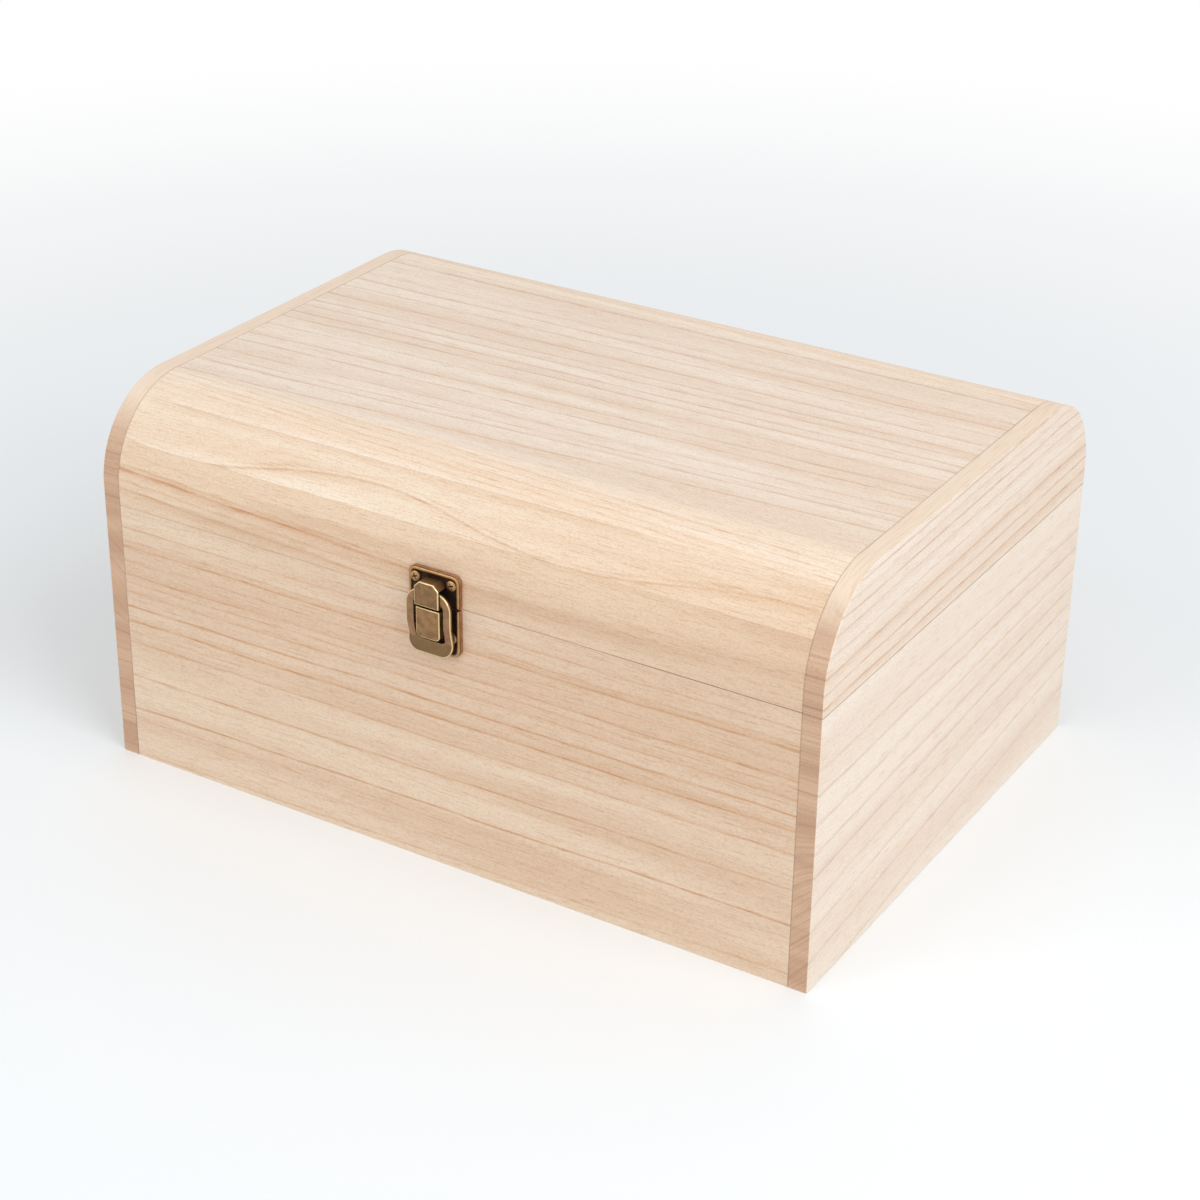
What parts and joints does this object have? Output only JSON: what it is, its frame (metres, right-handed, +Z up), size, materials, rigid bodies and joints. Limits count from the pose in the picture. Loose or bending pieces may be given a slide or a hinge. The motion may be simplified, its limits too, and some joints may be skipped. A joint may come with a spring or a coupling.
{
  "type": "keepsake box",
  "caption": "Plain wooden keepsake box with a rounded, hinged lid, glued boards and staves, an antique brass toggle latch at the front and stop hinges at the back.",
  "frame": {"origin": "centre of the underside, where the box stands", "axes": "+X runs to the right along the front, +Y from the front to the back, +Z up; the latch is at -Y and the hinges at +Y"},
  "size_m": [0.36, 0.2723, 0.1795],
  "materials": {
    "wood_sides": "sanded, unfinished",
    "wood_top": "sanded, unfinished",
    "wood_ends": "sanded, unfinished",
    "wood_bottom": "sanded, unfinished",
    "antique_brass": "antique, darkened and worn on its edges",
    "screw_brass": "antique, satin"
  },
  "bodies": {
    "base": {"base_front_board": "wood_sides", "base_back_board": "wood_sides", "base_left_end": "wood_ends", "base_right_end": "wood_ends", "base_bottom_panel": "wood_bottom", "latch_base_plate": "antique_brass", "latch_base_screws": "screw_brass", "lever_pin": "screw_brass", "hinge_base_leaf_left": "antique_brass", "hinge_base_leaf_right": "antique_brass", "hinge_base_screws": "screw_brass", "hinge_pin_left": "screw_brass", "hinge_pin_right": "screw_brass"},
    "lid": {"lid_front_rail": "wood_sides", "lid_front_low_stave": "wood_sides", "lid_front_high_stave": "wood_sides", "lid_top_board": "wood_top", "lid_back_high_stave": "wood_sides", "lid_back_low_stave": "wood_sides", "lid_back_rail": "wood_sides", "lid_left_end": "wood_ends", "lid_right_end": "wood_ends", "catch_plate": "antique_brass", "catch_hood": "antique_brass", "catch_screws": "screw_brass", "hinge_lid_leaf_left": "antique_brass", "hinge_lid_leaf_right": "antique_brass", "hinge_lid_screws": "screw_brass"},
    "lever": {"latch_lever": "antique_brass", "loop_rivets": "screw_brass"},
    "loop": {"latch_loop": "antique_brass"}
  },
  "joints": [
    {"name": "lid_hinge", "type": "hinge", "parent": "base", "child": "lid", "pos_m": [0, 0.1313, 0.1285], "axis": [-1, 0, 0], "range_deg": [0, 105]},
    {"name": "lever_pivot", "type": "hinge", "parent": "base", "child": "lever", "pos_m": [0, -0.1337, 0.1247], "axis": [-1, 0, 0], "range_deg": [0, 69]},
    {"name": "loop_pivot", "type": "hinge", "parent": "lever", "child": "loop", "pos_m": [0, -0.1335, 0.1223], "axis": [-1, 0, 0], "range_deg": [-46, 0]}
  ],
  "couplings": [
    {"joint": "loop_pivot", "follows": "lever_pivot", "ratio": -0.658}
  ]
}
